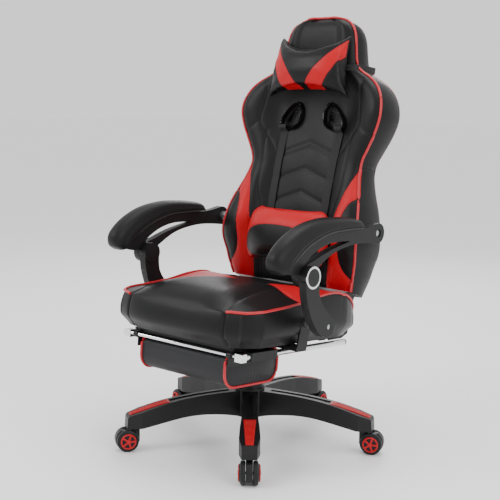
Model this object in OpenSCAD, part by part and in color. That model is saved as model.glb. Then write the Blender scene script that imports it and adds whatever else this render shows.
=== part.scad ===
// Reclining gaming chair with linked arms, a pull-out footrest and a five-star caster base.
// The sitter faces -Y and the sitter's left is +X. The swivel axis is the Z axis and the floor is z = 0.

/* [Base and casters] */
// Distance from the swivel axis to a caster's stem
stem_radius = 326; // [310:1:335]
// Turn of the star base under the seat, seen from above
base_turn = 41; // [0:1:72]
// Diameter of a caster wheel
wheel_d = 60; // [56:1:62]
// Width of one caster tyre
tyre_w = 13; // [11:1:14]
// Height of the base's hub
hub_top = 152; // [146:1:156]

/* [Gas lift] */
// Outer diameter of the column tube
tube_d = 50; // [46:1:52]
// Diameter of the sliding gas cylinder
cylinder_d = 28; // [26:1:30]
// Travel of the seat height
lift_travel = 80; // [60:5:80]

/* [Seat] */
// Backward lean of the seat at rest, in degrees
seat_lean = 4.5; // [3:0.5:6]
// Width of the seat cushion
seat_w = 480; // [470:2:480]
// Height of the seat cushion above its board
seat_h = 140; // [125:1:150]
// Height of the seat cushion's underside before the lean
seat_z = 322; // [320:1:326]

/* [Backrest] */
// Backward lean of the backrest at rest, in degrees
back_lean = 12; // [10:1:14]
// Half width of the backrest at the shoulders
shoulder_w = 246; // [235:1:252]
// Half width of the backrest at the waist
waist_w = 192; // [186:1:198]
// Length of the backrest above its hinge
back_len = 711; // [700:1:720]

/* [Arms] */
// Sideways distance from the middle of the chair to each arm
arm_x = 283; // [283:1:290]
// Thickness of an arm frame and of a link
arm_t = 22; // [18:1:24]
// Radius of the round joints on the arms
drum_r = 28; // [26:1:30]
// Width of an arm pad
pad_w = 60; // [52:1:66]

/* [Footrest] */
// Half width between the footrest's side tubes
rail_x = 199; // [196:1:204]
// Diameter of the side tubes
rail_d = 16; // [14:1:17]
// Thickness of the footrest pad
foot_h = 84; // [76:1:88]
// Depth of the footrest pad from front to back
foot_len = 206; // [190:1:208]
// Width of the footrest pad
foot_w = 320; // [300:2:330]

/* [Fits] */
// Gap round a pin that turns in its bore
run_gap = 0.05; // [0.03:0.01:0.08]
// Gap between a soft part and its neighbours
soft_gap = 0.4; // [0.3:0.1:0.6]

/* [Hidden] */
$fn = 48;

// Pivots in the side view, each as [y, z]
arm_front = [-137, 514];
arm_rear = [176, 592];
link_foot = [-67, 380];
// The backrest's hinge closes the parallelogram of arm, link, seat and backrest
back_hinge = arm_rear + link_foot - arm_front;
tilt_pivot = [-38, 284];

wheel_r = wheel_d / 2;
trail = 22;
fork_gap = 0.6;
wheel_in = 9.5;
leg_tip = stem_radius + 24;
leg_under = wheel_d + 3;
tube_r = tube_d / 2;
cyl_r = cylinder_d / 2;
half_seat = seat_w / 2;
housing_z = 256;
plate_z = 303;
frame_z = plate_z + 3.2;
board_z = seat_z - 5;
side_plate_x = half_seat + 2;
side_plate_t = 4.5;
hinge_plate_x = 170;
hinge_plate_t = 5;
rod_r = 5;
rail_r = rail_d / 2;
rail_z = 298;
foot_front = -272;
foot_rod = [foot_front, rail_z + 2];

// Points of a smooth curve through the points p, n steps between neighbours
function spline(p, n = 6) = [
    for (i = [0:len(p) - 2])
        for (k = [0:n - 1])
            let (a = p[max(i - 1, 0)], b = p[i], c = p[i + 1], d = p[min(i + 2, len(p) - 1)], t = k / n)
            0.5 * (2 * b + (c - a) * t + (2 * a - 5 * b + 4 * c - d) * t * t
                + (3 * b - a - 3 * c + d) * t * t * t),
    p[len(p) - 1]
];

// Points of an arc about c
function arc(c, r, a0, a1, n = 8) = [
    for (k = [0:n]) c + r * [cos(a0 + (a1 - a0) * k / n), sin(a0 + (a1 - a0) * k / n)]
];

// A list of points in the opposite order, and a curve's mirror image in the second axis
function flip(p) = [for (i = [len(p) - 1:-1:0]) p[i]];
function mirror_x(p) = [for (i = [len(p) - 1:-1:0]) [-p[i][0], p[i][1]]];

// Prisms of an outline given in the side view, the front view and the plan
module side_prism(p, x0, x1)
    translate([x0, 0, 0]) rotate([90, 0, 90]) linear_extrude(x1 - x0) polygon(p);
module front_prism(p, y0, y1)
    translate([0, y1, 0]) rotate([90, 0, 0]) linear_extrude(y1 - y0) polygon(p);
module plan_prism(p, z0, z1)
    translate([0, 0, z0]) linear_extrude(z1 - z0) polygon(p);

// Round bars along each axis
module bar_x(r, x0, x1, yz)
    translate([x0, yz[0], yz[1]]) rotate([0, 90, 0]) cylinder(r = r, h = x1 - x0);
module bar_y(r, y0, y1, x, z)
    translate([x, y0, z]) rotate([-90, 0, 0]) cylinder(r = r, h = y1 - y0);
module bar_z(r, z0, z1, x = 0, y = 0)
    translate([x, y, z0]) cylinder(r = r, h = z1 - z0);
module block(x0, x1, y0, y1, z0, z1)
    translate([x0, y0, z0]) cube([x1 - x0, y1 - y0, z1 - z0]);
module both_sides() {
    children();
    mirror([1, 0, 0]) children();
}

// Places what leans with the seat, and what is drawn along the backrest with its hinge at the origin
module on_seat()
    translate([0, tilt_pivot[0], tilt_pivot[1]]) rotate([-seat_lean, 0, 0])
        translate([0, -tilt_pivot[0], -tilt_pivot[1]]) children();
module on_back()
    translate([0, back_hinge[0], back_hinge[1]]) rotate([-back_lean, 0, 0]) children();

// Places a part drawn along +X on each leg of the base, or on leg i
module on_leg(i) rotate([0, 0, base_turn - 90 + 72 * i]) children();

// ---- Base ----

leg_top = [[30, hub_top - 6], [150, 139], [245, 125], [leg_tip - 6, 98]];
leg_foot = [[stem_radius - 18, leg_under], [180, 84], [90, 82], [30, 72]];

module leg_band(low, high, x0, x1, w0, w1)
    intersection() {
        translate([0, 30, 0]) rotate([90, 0, 0]) linear_extrude(60)
            polygon(concat(
                [for (p = spline(leg_top)) [p[0], p[1] + high]],
                flip([for (p = spline(leg_top)) [p[0], p[1] + low]])));
        plan_prism([[x0, -w0 / 2], [x1, -w1 / 2], [x1, w1 / 2], [x0, w0 / 2]], 60, 180);
    }

module leg() {
    half = [[20, 22], [120, 19], [200, 20.5], [265, 25], [stem_radius - 14, 27], [leg_tip + 2, 19]];
    difference() {
        intersection() {
            translate([0, 40, 0]) rotate([90, 0, 0]) linear_extrude(80)
                polygon(concat(spline(leg_top), [[leg_tip - 2, 93], [leg_tip, leg_under]], spline(leg_foot)));
            plan_prism(concat([for (p = half) [p[0], -p[1]]], flip(half)), 50, 170);
        }
        leg_band(-2.5, 20, 232, 342, 34, 21);
        leg_band(-3, 20, 62, 232, 13, 17);
        translate([0, 14, 0]) rotate([90, 0, 0]) linear_extrude(28)
            polygon([[48, 50], [48, 120], [150, 120], [240, 108], [stem_radius - 26, 87], [stem_radius - 26, 50]]);
        translate([stem_radius, 0, 50]) cylinder(r = 5.5 + run_gap, h = 42);
    }
}

module star_base()
    color("#202124")
        difference() {
            union() {
                bar_z(41, 72, hub_top);
                for (i = [0:4]) on_leg(i) leg();
            }
            bar_z(tube_r + 0.1, 60, hub_top + 2);
        }

module base_inserts()
    color("#d7282f")
        for (i = [0:4]) on_leg(i)
            leg_band(-2.3, 1.2, 232.4, 341.6, 33.2, 20.2);

// ---- Gas lift ----

cover_top = hub_top + 10 + lift_travel;
tube_top = cover_top + 4;
cylinder_foot = 178 - lift_travel;

module column_tube()
    color("#2b2c2f")
        difference() {
            bar_z(tube_r, 74, tube_top);
            bar_z(cyl_r + 4, 80, tube_top + 1);
            bar_z(7, 70, 90);
        }

module guide_bush()
    color("#3a3a3c")
        difference() {
            bar_z(cyl_r + 3.9, 176, tube_top - 1);
            bar_z(cyl_r + run_gap, 170, tube_top);
        }

module thrust_bearing()
    color("#9b9da1")
        difference() {
            bar_z(12, 80.1, 86);
            bar_z(5.1, 78, 88);
        }

module piston_rod()
    color("#c6c8cb") {
        bar_z(5, 77, 200);
        bar_z(11.5, 86.1, 89);
        bar_z(6.5, 77, 80);
    }

module column_lower_cover()
    color("#1c1d1f")
        difference() {
            union() {
                bar_z(37, hub_top, cover_top);
                bar_z(40, hub_top, hub_top + 6);
            }
            bar_z(34.6, hub_top - 1, cover_top + 1);
        }

module column_upper_cover()
    color("#1c1d1f")
        difference() {
            bar_z(33.6, hub_top + 6, housing_z - 0.3);
            bar_z(tube_r + 5, hub_top, housing_z - 3.3);
            bar_z(cyl_r + 0.3, hub_top, housing_z + 1);
        }

module gas_cylinder()
    color("#4b4d50")
        difference() {
            union() {
                bar_z(cyl_r, cylinder_foot, 284);
                bar_z(4, 284, 288);
            }
            bar_z(5 + run_gap, cylinder_foot - 1, 206);
        }

// ---- Tilt mechanism ----

spring_y = 74;
lever_pivot = [34, 266];

module tilt_housing()
    color("#26272a")
        difference() {
            union() {
                block(-34, 34, -56, 104, housing_z, 262);
                both_sides() side_prism([[-56, 258], [104, 258], [104, 262], [-20, 290], [-56, 290]], 29, 34);
                block(-30, 30, -56, -52, housing_z, 276);
                bar_z(22, housing_z, 280);
                both_sides() bar_x(11, 24, 34, tilt_pivot);
            }
            bar_z(cyl_r + 0.1, 250, 290);
            bar_x(6 + run_gap, -40, 40, tilt_pivot);
            bar_z(6, 250, 270, 0, spring_y);
            bar_x(4 + run_gap, -40, -20, lever_pivot);
        }

module tilt_axle()
    color("#a8aaad") {
        bar_x(6, -44, 44, tilt_pivot);
        both_sides() bar_x(9, 40.2, 44, tilt_pivot);
    }

module seat_plate()
    color("#26272a")
        difference() {
            union() {
                on_seat() {
                    block(-34, 34, -60, 118, plate_z, plate_z + 3);
                    both_sides() for (y = [-52, 88])
                        block(34, 172, y, y + 26, plate_z, plate_z + 3);
                    both_sides() block(35, 40, -62, 20, 290, plate_z + 3);
                }
                both_sides() bar_x(12, 35, 40, tilt_pivot);
            }
            bar_x(6 + run_gap, -50, 50, tilt_pivot);
            on_seat() bar_z(18, 280, 320, 0, 2);
        }

module tension_spring()
    color("#8f9195")
        for (k = [0:4])
            translate([0, spring_y, 265.2 + 5.9 * k]) rotate_extrude()
                translate([15, 0]) circle(r = 2.9);

module tension_knob()
    color("#1b1c1e") {
        difference() {
            bar_z(23, 226, 250, 0, spring_y);
            for (k = [0:11])
                translate([0, spring_y, 0]) rotate([0, 0, 30 * k]) bar_z(2.5, 220, 252, 24, 0);
        }
        bar_z(5, 250, 271, 0, spring_y);
        bar_z(12, 250, 255.8, 0, spring_y);
        bar_z(9, 263, 271, 0, spring_y);
    }

module height_lever()
    color("#2b2c2f") {
        bar_x(4, -238, -22.5, lever_pivot);
        side_prism([[26, 268], [32, 260], [44, 260], [46, 266], [40, 272], [32, 273]], -300, -232);
        block(-28, -23, 24, 34, 263.5, 269);
    }

// ---- Seat ----

seat_side = spline([[-290, seat_z], [-304, seat_z + 12], [-308, seat_z + 70], [-292, seat_z + 112],
    [-240, seat_z + seat_h - 5], [-150, seat_z + seat_h], [0, seat_z + seat_h - 2],
    [100, seat_z + 128], [158, seat_z + 102], [186, seat_z + 58], [188, seat_z + 22], [180, seat_z]], 5);

seat_half = [[168, -310], [208, -288], [half_seat - 6, -250], [half_seat, -190], [half_seat, 60],
    [half_seat - 6, 120], [half_seat - 24, 168], [half_seat - 50, 190]];

module seat_side_rails()
    color("#303134")
        on_seat() both_sides() block(150, 170, -262, 176, frame_z, board_z);

module seat_cross_rails()
    color("#303134")
        on_seat()
            for (y = [-262, -52, 88, 154])
                block(-150, 150, y, y + 22, frame_z, board_z);

module seat_board()
    color("#8a6a45")
        on_seat() block(-174, 174, -270, 176, board_z, seat_z - 0.3);

module seat_cushion()
    color("#2a2a2d")
        on_seat()
            intersection() {
                side_prism(seat_side, -half_seat, half_seat);
                plan_prism(concat(seat_half, mirror_x(seat_half)), seat_z - 10, seat_z + seat_h + 10);
            }

// ---- Footrest ----

module footrest_guides()
    color("#1d1e20")
        on_seat()
            both_sides()
                difference() {
                    union() {
                        block(rail_x - 12, rail_x + 12, -240, -140, rail_z - 12, rail_z + 11);
                        block(170.2, rail_x - 12, -230, -150, frame_z, rail_z + 11);
                    }
                    bar_y(rail_r + run_gap, -250, -130, rail_x, rail_z);
                }

module footrest_tubes()
    color("#d5d7da")
        on_seat()
            both_sides()
                difference() {
                    bar_y(rail_r, foot_front + 14, 160, rail_x, rail_z);
                    bar_y(rail_r - 1.5, foot_front, 170, rail_x, rail_z);
                }

module footrest_end_caps()
    color("#151617")
        on_seat()
            both_sides() {
                bar_y(rail_r, 160.1, 164, rail_x, rail_z);
                bar_y(rail_r - 1.7, 150, 160.1, rail_x, rail_z);
            }

module footrest_crossbar()
    color("#232427")
        on_seat()
            block(-rail_x + 11, rail_x - 11, foot_front + 9, foot_front + 27, rail_z + 2.4, rail_z + 7.4);

module footrest_corners()
    color("#d5d7da")
        on_seat()
            both_sides()
                difference() {
                    union() {
                        block(rail_x - 11, rail_x + 11, foot_front - 6, foot_front + 13.8, rail_z - 10, rail_z + 10);
                        bar_y(rail_r - 1.7, foot_front + 13, foot_front + 34, rail_x, rail_z);
                    }
                    bar_x(rod_r + run_gap, 150, 250, foot_rod);
                }

module footrest_rod()
    color("#e2e4e6")
        on_seat() {
            bar_x(rod_r, -rail_x - 13, rail_x + 13, foot_rod);
            both_sides() bar_x(rod_r + 2, rail_x + 11.1, rail_x + 14, foot_rod);
        }

foot_top = rail_z - 3;
foot_side = concat(
    arc([foot_front + 26, foot_top - 22], 22, 90, 180),
    arc([foot_front + 42, foot_top - foot_h + 38], 38, 180, 270),
    arc([foot_front + foot_len - 36, foot_top - foot_h + 36], 36, 270, 360),
    arc([foot_front + foot_len - 16, foot_top - 16], 16, 0, 90));

module footrest_pad()
    color("#2a2a2d")
        on_seat()
            side_prism(foot_side, -foot_w / 2, foot_w / 2);

module footrest_hinges()
    color("#26272a")
        on_seat()
            both_sides()
                difference() {
                    union() {
                        bar_x(rod_r + 4, foot_w / 2 + 0.3, foot_w / 2 + 14, foot_rod);
                        block(foot_w / 2 + 0.3, foot_w / 2 + 4, foot_front, foot_front + 96, foot_top - 26, foot_top + 2);
                    }
                    bar_x(rod_r + run_gap, 150, 180, foot_rod);
                }

// ---- Recline hinge ----

module recline_brackets()
    color("#303134")
        both_sides() {
            difference() {
                union() {
                    side_prism([[118, 291], [176, 287], [204, 296], [226, 380], [back_hinge[0] + 18, back_hinge[1] - 4],
                        [back_hinge[0] - 18, back_hinge[1] + 4], [204, 392], [190, 304], [118, 308]],
                        hinge_plate_x + hinge_plate_t + 1, hinge_plate_x + 2 * hinge_plate_t + 1);
                    bar_x(22, hinge_plate_x + hinge_plate_t + 1, hinge_plate_x + 2 * hinge_plate_t + 1, back_hinge);
                }
                bar_x(7 + run_gap, 150, 200, back_hinge);
            }
            on_seat() block(170.2, 176.2, 110, 172, frame_z, board_z);
        }

module recline_pins()
    color("#a8aaad")
        both_sides() {
            bar_x(7, hinge_plate_x - 6, hinge_plate_x + 2 * hinge_plate_t + 1.4, back_hinge);
            bar_x(11, hinge_plate_x + 2 * hinge_plate_t + 1.2, hinge_plate_x + 2 * hinge_plate_t + 5, back_hinge);
        }

module recline_shaft()
    color("#77797d")
        bar_x(5, 6.1 - hinge_plate_x, hinge_plate_x - 6.1, back_hinge);

release_pivot = [185, 291];

module recline_lever()
    color("#1b1c1e") {
        bar_x(6, -side_plate_x - 12, -hinge_plate_x - 12.5, release_pivot);
        side_prism([[176, 283], [194, 283], [196, 298], [150, 321], [98, 338], [84, 335], [84, 325], [94, 320],
            [146, 306], [172, 296]], -side_plate_x - 12, -side_plate_x - 5);
    }

module link_brackets()
    color("#303134")
        both_sides()
            difference() {
                union() {
                    on_seat() block(170.2, side_plate_x + side_plate_t, -110, -70, frame_z, board_z - 0.3);
                    bar_x(20, side_plate_x, side_plate_x + side_plate_t, link_foot);
                    side_prism([[-108, 310], [-68, 307], [link_foot[0] + 20, link_foot[1]],
                        [link_foot[0] - 20, link_foot[1]]], side_plate_x, side_plate_x + side_plate_t);
                }
                bar_x(6 + run_gap, 200, 300, link_foot);
            }

// ---- Backrest, drawn along its own lean ----

back_half = spline([[216, -66], [231, -10], [239, 72], [222, 183], [waist_w, 292], [226, 372], [shoulder_w, 438],
    [206, 526], [142, 566], [120, 632], [116, 655], [100, back_len - 14], [50, back_len]], 4);
back_front = spline([[-66, -50], [-76, -20], [-88, 60], [-87, 190], [-80, 330], [-62, 440], [-84, 545], [-101, 640],
    [-102, back_len - 22], [-78, back_len]], 6);
back_rear = spline([[-48, back_len], [-34, 690], [-18, 610], [0, 510], [0, 300], [8, 100], [10, 0], [8, -62]], 6);
wing_front = spline([[-80, -48], [-104, 10], [-133, 100], [-118, 215], [-95, 305], [-119, 455], [-100, 560], [-90, 640]], 6);
wing_plan = [[122, -60], [168, -140], [270, -140], [270, 30], [122, 30]];

// Harness opening: low corners outside and inside, then the narrower top
hole = [[58, 399], [118, 403], [70, 463], [46, 441]];

function grow(p, c, k) = [for (q = p) c + (q - c) * k];
hole_mid = [76, 425];

module back_loop(r) {
    both_sides() {
        translate([172, -34, 28]) cylinder(r = r, h = 340);
        translate([172, -34, 368]) rotate([0, -24, 0]) cylinder(r = r, h = 290);
    }
    bar_x(r, -58, 58, [-34, 632]);
    bar_x(r, -172, 172, [-34, 368]);
}

module hinge_plates(g)
    both_sides()
        side_prism([[-18 - g, -16 - g], [16 + g, -16 - g], [16 + g, 40], [-20 + g, 70 + g], [-20 + g, 160 + g],
            [-98, 152 + g], [-126 - g, 130], [-100, 104 - g], [-48 - g, 100], [-48 - g, 40]],
            hinge_plate_x - g, hinge_plate_x + hinge_plate_t + g);

arm_stud = [-104.9, 124.6];

module back_frame()
    color("#303134")
        difference() {
            on_back() {
                back_loop(9);
                hinge_plates(0);
            }
            bar_x(7 + run_gap, 160, 180, back_hinge);
            bar_x(7 + run_gap, -180, -160, back_hinge);
            both_sides() bar_x(8, 150, 190, arm_rear);
        }

module back_cushion()
    color("#2a2a2d")
        difference() {
            on_back()
                difference() {
                    intersection() {
                        front_prism(concat(back_half, mirror_x(back_half)), -150, 40);
                        union() {
                            side_prism(concat(back_front, back_rear), -190, 190);
                            both_sides()
                                intersection() {
                                    side_prism(concat(wing_front, back_rear), 100, 260);
                                    plan_prism(wing_plan, -70, 660);
                                }
                        }
                    }
                    both_sides() front_prism(grow(hole, hole_mid, 1.14), -150, 40);
                    block(-194, 194, -32, 40, -80, 22);
                    back_loop(9 + soft_gap);
                    hinge_plates(soft_gap);
                }
            both_sides() bar_x(14, 160, 260, arm_rear);
        }

module harness_trims()
    color("#121314")
        on_back()
            both_sides()
                difference() {
                    union() {
                        front_prism(grow(hole, hole_mid, 1.13), -74, -4);
                        front_prism(grow(hole, hole_mid, 1.26), -80, -72.4);
                    }
                    front_prism(hole, -90, 20);
                }

strap_path = [[-89.8, 26], [-90, 120], [-89, 190], [-82, 330], [-74.6, 385]];

module lumbar_straps()
    color("#1a1b1d")
        on_back()
            both_sides()
                side_prism(concat(spline(strap_path), flip(spline([for (p = strap_path) p - [1.8, 0]]))), 86, 111);

lumbar_side = spline([[-94, 30], [-128, 6], [-160, 20], [-174, 80], [-164, 140], [-132, 162], [-94, 142], [-94, 30]], 4);
lumbar_plan = [[-132, -92], [-150, -124], [-142, -158], [-104, -180], [104, -180], [142, -158], [150, -124], [132, -92]];

module lumbar_pillow()
    color("#d7282f")
        on_back()
            intersection() {
                side_prism(lumbar_side, -150, 150);
                plan_prism(lumbar_plan, 0, 180);
            }

module head_strap()
    color("#1a1b1d")
        on_back()
            difference() {
                plan_prism([[-148, -101], [148, -101], [148, 7], [-148, 7]], 566, 582);
                plan_prism([[-146, -99], [146, -99], [146, 5], [-146, 5]], 560, 590);
            }

head_front = [[-106, 480], [-146, 476], [-168, 514], [-172, 562], [-164, 612], [-144, 648], [-107, 654]];
head_half = [[146, 474], [138, 532], [126, 594], [131, 656]];

module head_pillow()
    color("#2a2a2d")
        on_back()
            intersection() {
                side_prism(concat([[-107, 480]], spline(head_front, 3)), -150, 150);
                front_prism(concat(spline(head_half, 4), mirror_x(spline(head_half, 4))), -190, -100);
            }

module rear_arm_bolts()
    color("#a8aaad")
        both_sides() {
            bar_x(13, hinge_plate_x + hinge_plate_t + 0.1, arm_x - arm_t / 2 - 0.6, arm_rear);
            bar_x(7.9, hinge_plate_x - 6, arm_x + arm_t / 2 - 4, arm_rear);
        }

// ---- Arms: one moulding is used on both sides, with the link on its +X face ----

arm_top = spline([[-222, 534], [-190, 558], [-140, 588], [-60, 610], [30, 613], [112, 611], [168, 618]], 5);
arm_low = spline([[176, 565], [114, 572], [62, 573], [2, 566], [-42, 553], [-92, 528]], 4);
slot_top = spline([[-140, 546], [-118, 561], [-78, 578], [-25, 587], [46, 584]], 4);
slot_low = spline([[46, 583], [-16, 573], [-60, 563], [-103, 550], [-138, 541]], 4);

module arm_frame(x)
    difference() {
        union() {
            side_prism(concat(arm_top, arm_low, [[-150, 520], [-192, 524]]), x - arm_t / 2, x + arm_t / 2);
            bar_x(drum_r, x - arm_t / 2, x + arm_t / 2, arm_front);
            bar_x(drum_r - 1, x - arm_t / 2, x + arm_t / 2, arm_rear);
        }
        side_prism(concat(slot_top, slot_low), x - arm_t, x + arm_t);
        bar_x(8 + run_gap, x - arm_t, x + arm_t, arm_rear);
        bar_x(11, x + arm_t / 2 - 3, x + arm_t, arm_rear);
        bar_x(6 + run_gap, x - arm_t, x + arm_t, arm_front);
    }

pad_crest = spline([[-232, 528], [-256, 548], [-252, 578], [-214, 612], [-150, 640], [-70, 652],
    [10, 649], [76, 638], [87, 630], [87, 613.6]], 5);
pad_base = spline([[87, 613.6], [30, 614.6], [-60, 611.6], [-140, 589.6], [-190, 559.6], [-222, 535.6]], 5);

module arm_pad(x)
    side_prism(concat(pad_crest, pad_base), x - pad_w / 2, x + pad_w / 2);

// The link hangs from the front drum and stands on the seat's side bracket
link_out = spline([[-164, 506], [-160, 468], [-144, 420], [-118, 380], [-96, 360]], 5);
link_in = spline([[-44, 372], [-52, 398], [-88, 432], [-108, 466], [-110, 506]], 5);

module arm_link(x) {
    x0 = x + arm_t / 2 + 1;
    difference() {
        union() {
            side_prism(concat(link_out, link_in), x0, x0 + arm_t);
            bar_x(drum_r, x0, x0 + arm_t, arm_front);
            bar_x(25, x0, x0 + arm_t, link_foot + [-3, 0]);
        }
        bar_x(7 + run_gap, x0 - 1, x0 + arm_t + 1, link_foot);
        bar_x(6 + run_gap, x0 - 1, x0 + arm_t + 1, arm_front);
    }
}

module arm_cap(x, side) {
    x0 = x + arm_t / 2 + 1 + (side > 0 ? arm_t : 0);
    face = side > 0 ? x0 : x0 + arm_t;
    bar_x(drum_r, face + 0.1, face + 2.4, arm_front);
    bar_x(6, x - arm_t / 2 - 1, face + 1, arm_front);
}

module arm_frame_left() color("#202124") arm_frame(arm_x);
module arm_pad_left() color("#2a2a2d") arm_pad(arm_x);
module arm_link_left() color("#202124") arm_link(arm_x);
module arm_cap_left() color("#c9cbce") arm_cap(arm_x, 1);
module arm_frame_right() color("#202124") arm_frame(-arm_x);
module arm_pad_right() color("#2a2a2d") arm_pad(-arm_x);
module arm_link_right() color("#202124") arm_link(-arm_x);
module arm_cap_right() color("#202124") arm_cap(-arm_x, -1);

// Each bolt runs from the seat's side bracket, through a spacer on the left, into its link
module link_bolts()
    color("#a8aaad") {
        plate_face = side_plate_x + side_plate_t;
        left_link = arm_x + arm_t / 2 + 1;
        right_link = -arm_x + arm_t / 2 + 1;
        bar_x(6, side_plate_x + 0.2, plate_face + 0.3, link_foot);
        bar_x(13, plate_face + 0.1, left_link - 0.5, link_foot);
        bar_x(7, left_link - 0.6, left_link + arm_t - 2, link_foot);
        bar_x(6, -plate_face - 0.3, -side_plate_x - 0.2, link_foot);
        bar_x(7, right_link + 2, -plate_face - 0.1, link_foot);
    }

// ---- Casters ----

axle_z = wheel_r;

module caster_fork(i)
    color("#1c1d1f")
        on_leg(i) {
            cheek = wheel_in - fork_gap;
            bar_z(5.5, 46, 90, stem_radius, 0);
            bar_z(15, wheel_d + 0.6, leg_under - 0.4, stem_radius, 0);
            bar_z(cheek, 40, leg_under - 0.4, stem_radius, 0);
            intersection() {
                bar_y(wheel_r + 1, -cheek, cheek, stem_radius + trail, axle_z);
                block(0, stem_radius + trail + 40, -40, 40, 14, 57);
            }
            block(stem_radius - 12, stem_radius + trail, -cheek, cheek, 24, 57);
            bar_y(4, -wheel_in - tyre_w, wheel_in + tyre_w, stem_radius + trail, axle_z);
        }

module caster_wheels(i)
    color("#17181a")
        on_leg(i)
            for (side = [0, 1])
                mirror([0, side, 0])
                    difference() {
                        union() {
                            bar_y(wheel_r, wheel_in, wheel_in + tyre_w, stem_radius + trail, axle_z);
                            bar_y(wheel_r - 8, wheel_in, wheel_in + tyre_w + 3, stem_radius + trail, axle_z);
                        }
                        bar_y(4 + run_gap, 0, wheel_in + tyre_w + 4, stem_radius + trail, axle_z);
                    }

module caster_fork_1() caster_fork(0);
module caster_fork_2() caster_fork(1);
module caster_fork_3() caster_fork(2);
module caster_fork_4() caster_fork(3);
module caster_fork_5() caster_fork(4);
module caster_wheels_1() caster_wheels(0);
module caster_wheels_2() caster_wheels(1);
module caster_wheels_3() caster_wheels(2);
module caster_wheels_4() caster_wheels(3);
module caster_wheels_5() caster_wheels(4);

star_base();
base_inserts();
column_tube();
guide_bush();
thrust_bearing();
piston_rod();
column_lower_cover();
column_upper_cover();
gas_cylinder();
tilt_housing();
tilt_axle();
seat_plate();
tension_spring();
tension_knob();
height_lever();
seat_side_rails();
seat_cross_rails();
seat_board();
seat_cushion();
recline_brackets();
recline_pins();
recline_shaft();
recline_lever();
link_brackets();
footrest_guides();
footrest_tubes();
footrest_crossbar();
footrest_corners();
footrest_end_caps();
footrest_rod();
footrest_pad();
footrest_hinges();
back_frame();
back_cushion();
harness_trims();
lumbar_straps();
lumbar_pillow();
head_strap();
head_pillow();
rear_arm_bolts();
arm_frame_left();
arm_pad_left();
arm_link_left();
arm_cap_left();
arm_frame_right();
arm_pad_right();
arm_link_right();
arm_cap_right();
link_bolts();
caster_fork_1();
caster_fork_2();
caster_fork_3();
caster_fork_4();
caster_fork_5();
caster_wheels_1();
caster_wheels_2();
caster_wheels_3();
caster_wheels_4();
caster_wheels_5();
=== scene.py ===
from math import cos, hypot, pi, radians, sin

import bpy
import numpy as np
from mathutils import Matrix, Vector, noise


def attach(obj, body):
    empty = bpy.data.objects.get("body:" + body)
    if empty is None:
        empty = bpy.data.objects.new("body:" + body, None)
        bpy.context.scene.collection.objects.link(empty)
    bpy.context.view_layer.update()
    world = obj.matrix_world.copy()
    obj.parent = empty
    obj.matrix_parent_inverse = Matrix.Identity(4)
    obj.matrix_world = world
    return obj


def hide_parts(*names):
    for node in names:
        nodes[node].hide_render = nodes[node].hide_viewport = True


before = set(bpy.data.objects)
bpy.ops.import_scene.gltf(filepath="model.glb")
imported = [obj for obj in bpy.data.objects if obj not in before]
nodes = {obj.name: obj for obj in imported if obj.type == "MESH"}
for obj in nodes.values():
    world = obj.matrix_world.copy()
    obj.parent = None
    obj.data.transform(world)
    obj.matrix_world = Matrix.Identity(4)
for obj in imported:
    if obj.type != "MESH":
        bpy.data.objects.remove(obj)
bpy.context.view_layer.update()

bpy.ops.object.select_all(action="DESELECT")

# ---- Camera and studio ----
# A long lens stands to the front left of the sitter, a little above the seat, and is turned by under a degree.
# The floor is one plain pale sheet, lit by soft boxes and an even white surround.
camera_data = bpy.data.cameras.new("camera")
camera_data.sensor_width = 36
camera_data.lens = 73.64
camera_data.clip_end = 100
camera = bpy.data.objects.new("camera", camera_data)
bpy.context.scene.collection.objects.link(camera)
camera_turn, camera_rise = radians(40.95), radians(8.54)
back_axis = Vector((sin(camera_turn) * cos(camera_rise), -cos(camera_turn) * cos(camera_rise), sin(camera_rise)))
side_axis = Vector((cos(camera_turn), sin(camera_turn), 0))
aim = Matrix((side_axis, back_axis.cross(side_axis), back_axis)).transposed() @ Matrix.Rotation(radians(0.728), 3, "Z")
camera.matrix_world = Matrix.Translation(Vector((-0.0036, -0.0032, 0.5338)) + back_axis * 2.793) @ aim.to_4x4()
bpy.context.scene.camera = camera

world = bpy.data.worlds.new("surround")
world.use_nodes = True
world.node_tree.nodes["Background"].inputs["Color"].default_value = (1.0, 1.0, 1.0, 1)
world.node_tree.nodes["Background"].inputs["Strength"].default_value = 1.15
bpy.context.scene.world = world


def soft_box(name, place, width, power):
    """A square soft box that faces the middle of the chair."""
    light = bpy.data.lights.new(name, "AREA")
    light.shape = "RECTANGLE"
    light.size = width
    light.size_y = width * 0.7
    light.energy = power
    box = bpy.data.objects.new(name, light)
    bpy.context.scene.collection.objects.link(box)
    box.location = place
    box.rotation_euler = (Vector((0, 0, 0.6)) - Vector(place)).to_track_quat("-Z", "Y").to_euler()


soft_box("key_light", (-1.6, -2.6, 2.6), 1.8, 58)
soft_box("side_light", (3.0, -0.4, 1.9), 1.6, 34)
soft_box("top_light", (0.2, 0.5, 3.2), 2.2, 42)
soft_box("rear_light", (-1.6, 2.6, 1.8), 1.4, 22)

bpy.ops.mesh.primitive_plane_add(size=60, location=(0, 0, 0))
floor = bpy.context.object
floor.name = "floor"


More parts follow.
